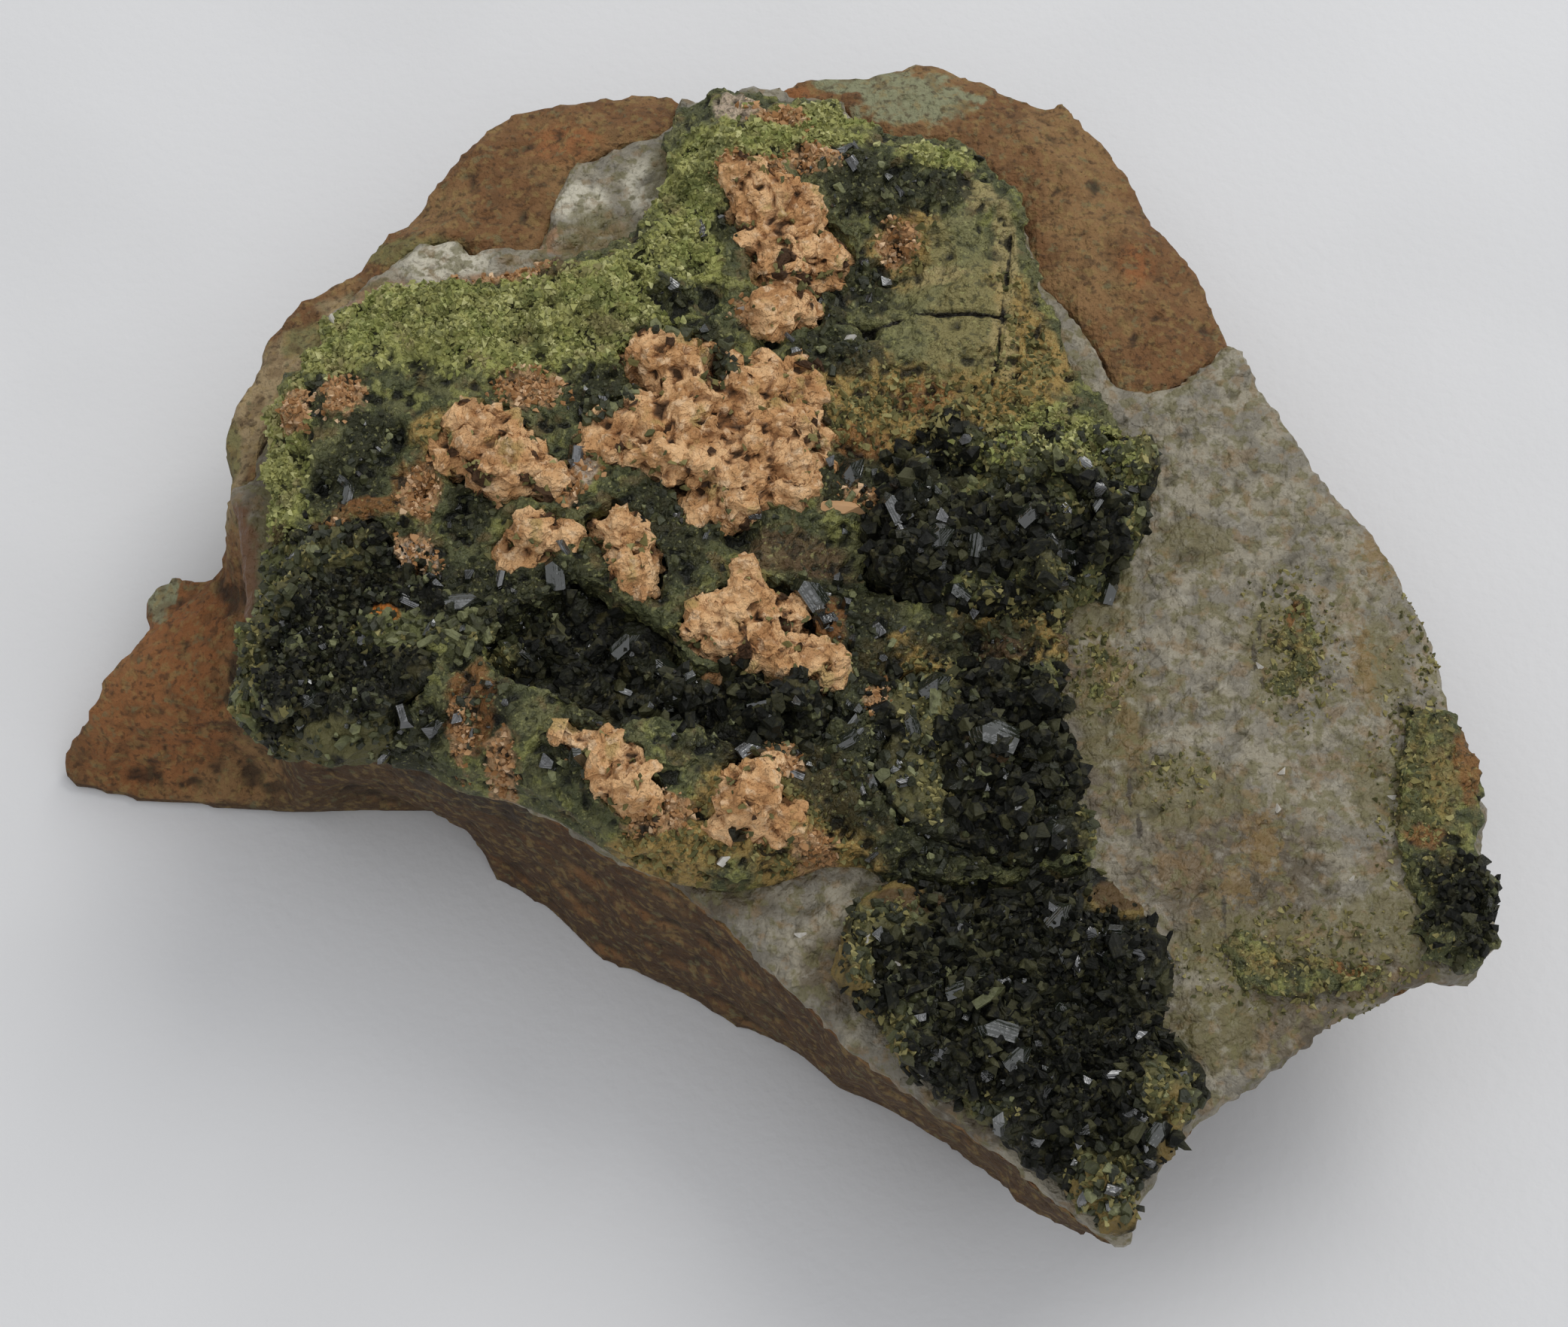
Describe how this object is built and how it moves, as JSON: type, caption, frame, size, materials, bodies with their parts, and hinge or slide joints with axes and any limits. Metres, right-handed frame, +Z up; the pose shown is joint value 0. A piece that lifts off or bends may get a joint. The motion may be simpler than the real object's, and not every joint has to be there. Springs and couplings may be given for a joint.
{
  "type": "epidote crystal cluster",
  "caption": "Loose rock specimen to lie on a shelf: green epidote crust and dark epidote crystals over quartz on a brown slab, with tan feldspar patches and a thin arm.",
  "frame": {"origin": "on the flat underside that the specimen lies on, under the middle of the slab", "axes": "+X along the longest way, from the thin left arm to the right corner; +Y away from the front face; +Z up, out of the crust"},
  "size_m": [0.1109, 0.1004, 0.0317],
  "materials": {
    "host_rock": "weathered brown, iron stained, fine grained, matt",
    "quartz": "grey-white vein quartz, slightly translucent, satin",
    "epidote_crust": "granular pistachio green, rough with fine glints",
    "epidote_crystals": "dark green-black crystals with glassy flat faces",
    "feldspar": "tan, iron stained, spongy, matt"
  },
  "bodies": {
    "root": {"host_rock": "host_rock", "quartz_layer": "quartz", "epidote_crust": "epidote_crust", "central_crystals": "epidote_crystals", "left_crystals": "epidote_crystals", "upper_right_crystals": "epidote_crystals", "middle_crystals": "epidote_crystals", "lower_crystals": "epidote_crystals", "right_edge_crystals": "epidote_crystals", "feldspar_centre": "feldspar", "feldspar_upper": "feldspar", "feldspar_left": "feldspar", "feldspar_left_small": "feldspar", "feldspar_diagonal": "feldspar", "feldspar_lower_centre": "feldspar", "feldspar_bottom": "feldspar", "feldspar_bottom_right": "feldspar", "epidote_patch_upper": "epidote_crust", "epidote_patch_inner": "epidote_crust", "epidote_patch_lower": "epidote_crust"}
  },
  "joints": []
}
